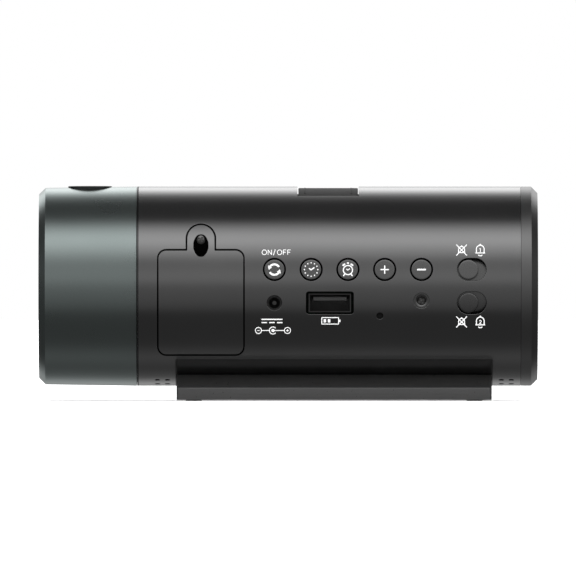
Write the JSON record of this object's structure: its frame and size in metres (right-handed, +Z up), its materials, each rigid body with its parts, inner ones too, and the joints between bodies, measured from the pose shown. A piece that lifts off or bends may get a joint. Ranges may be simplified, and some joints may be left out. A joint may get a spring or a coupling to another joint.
{
  "type": "projection alarm clock",
  "caption": "Projection alarm clock: a lying barrel on a low stand, with a turning projector head, rear keys, slide switches, sockets and a snooze key on top.",
  "frame": {"origin": "centre of the bounding box's bottom face, on the table under the feet", "axes": "+X along the barrel from the projector head to the end cap, +Y towards the display side, +Z up"},
  "size_m": [0.155, 0.062, 0.0667],
  "materials": {
    "housing_gloss": "gloss",
    "window_smoke": "gloss smoked",
    "display_face": "satin",
    "circuit_board": "satin",
    "inner_plastic": "matte",
    "cap_satin": "satin metallic paint",
    "head_satin": "satin metallic paint",
    "stand_satin": "satin",
    "foot_rubber": "matte",
    "screw_steel": "dark plated",
    "socket_black": "matte",
    "contact_metal": "satin",
    "socket_metal": "bright",
    "tongue_white": "satin",
    "cell_metal": "bright",
    "lead_jacket": "matte",
    "sink_aluminium": "satin",
    "lens_glass": "polished",
    "bezel_black": "gloss",
    "key_satin": "satin"
  },
  "bodies": {
    "main_body": {"rear_housing": "housing_gloss", "front_housing": "housing_gloss", "display_window": "window_smoke", "display_panel": "display_face", "display_board": "circuit_board", "display_carrier": "inner_plastic", "end_cap": "cap_satin", "buzzer": "inner_plastic", "bearing_plate": "inner_plastic", "stand_base": "stand_satin", "base_cover": "inner_plastic", "rubber_feet": "foot_rubber", "base_screws": "screw_steel", "case_screws": "screw_steel", "control_board": "circuit_board", "board_screws": "screw_steel", "key_switches": "inner_plastic", "reset_switch": "inner_plastic", "slide_switches": "inner_plastic", "power_inlet": "socket_black", "power_inlet_pin": "contact_metal", "charge_socket_shell": "socket_metal", "charge_socket_tongue": "tongue_white", "coin_cell": "cell_metal", "cell_contacts": "contact_metal", "snooze_board": "circuit_board", "snooze_switch": "inner_plastic", "projector_lead": "lead_jacket", "lead_connector": "tongue_white", "board_chips": "inner_plastic"},
    "projector_head": {"head_shell": "head_satin", "head_hub": "inner_plastic", "hub_retainer": "inner_plastic", "friction_washer": "foot_rubber", "retainer_screws": "screw_steel", "hub_screws": "screw_steel", "projector_frame": "inner_plastic", "lead_plug": "tongue_white", "lamp_board": "circuit_board", "projector_lamp": "tongue_white", "heat_sink": "sink_aluminium", "condenser_lens": "lens_glass", "picture_glass": "lens_glass", "lens_tube": "inner_plastic", "inner_lens": "lens_glass", "lens_bezel": "bezel_black", "projection_lens": "lens_glass"},
    "projection_key": {"projection_key": "key_satin"},
    "clock_key": {"clock_key": "key_satin"},
    "alarm_key": {"alarm_key": "key_satin"},
    "plus_key": {"plus_key": "key_satin"},
    "minus_key": {"minus_key": "key_satin"},
    "alarm_one_knob": {"alarm_one_knob": "key_satin"},
    "alarm_two_knob": {"alarm_two_knob": "key_satin"},
    "reset_plunger": {"reset_plunger": "socket_black"},
    "snooze_key": {"snooze_key": "key_satin"},
    "battery_door": {"battery_door": "housing_gloss", "battery_door_screw": "screw_steel"}
  },
  "joints": [
    {"name": "head_turn", "type": "hinge", "parent": "main_body", "child": "projector_head", "pos_m": [-0.0475, 0, 0.0356], "axis": [1, 0, 0], "range_deg": [-90, 90]},
    {"name": "projection_key_press", "type": "slide", "parent": "main_body", "child": "projection_key", "axis": [0, 1, 0], "range_m": [0, 0.0005], "stiffness_N_per_m": 400, "springref_m": -0.0003},
    {"name": "clock_key_press", "type": "slide", "parent": "main_body", "child": "clock_key", "axis": [0, 1, 0], "range_m": [0, 0.0005], "stiffness_N_per_m": 400, "springref_m": -0.0003},
    {"name": "alarm_key_press", "type": "slide", "parent": "main_body", "child": "alarm_key", "axis": [0, 1, 0], "range_m": [0, 0.0005], "stiffness_N_per_m": 400, "springref_m": -0.0003},
    {"name": "plus_key_press", "type": "slide", "parent": "main_body", "child": "plus_key", "axis": [0, 1, 0], "range_m": [0, 0.0005], "stiffness_N_per_m": 400, "springref_m": -0.0003},
    {"name": "minus_key_press", "type": "slide", "parent": "main_body", "child": "minus_key", "axis": [0, 1, 0], "range_m": [0, 0.0005], "stiffness_N_per_m": 400, "springref_m": -0.0003},
    {"name": "alarm_one_slide", "type": "slide", "parent": "main_body", "child": "alarm_one_knob", "axis": [1, 0, 0], "range_m": [0, 0.0021]},
    {"name": "alarm_two_slide", "type": "slide", "parent": "main_body", "child": "alarm_two_knob", "axis": [1, 0, 0], "range_m": [0, 0.0021]},
    {"name": "reset_press", "type": "slide", "parent": "main_body", "child": "reset_plunger", "axis": [0, 1, 0], "range_m": [0, 0.0003], "stiffness_N_per_m": 400, "springref_m": -0.0003},
    {"name": "snooze_press", "type": "slide", "parent": "main_body", "child": "snooze_key", "axis": [0, 0, -1], "range_m": [0, 0.0008], "stiffness_N_per_m": 500, "springref_m": -0.0004},
    {"name": "battery_door_off", "type": "slide", "parent": "main_body", "child": "battery_door", "axis": [0, -1, 0], "range_m": [0, 0.016]}
  ]
}
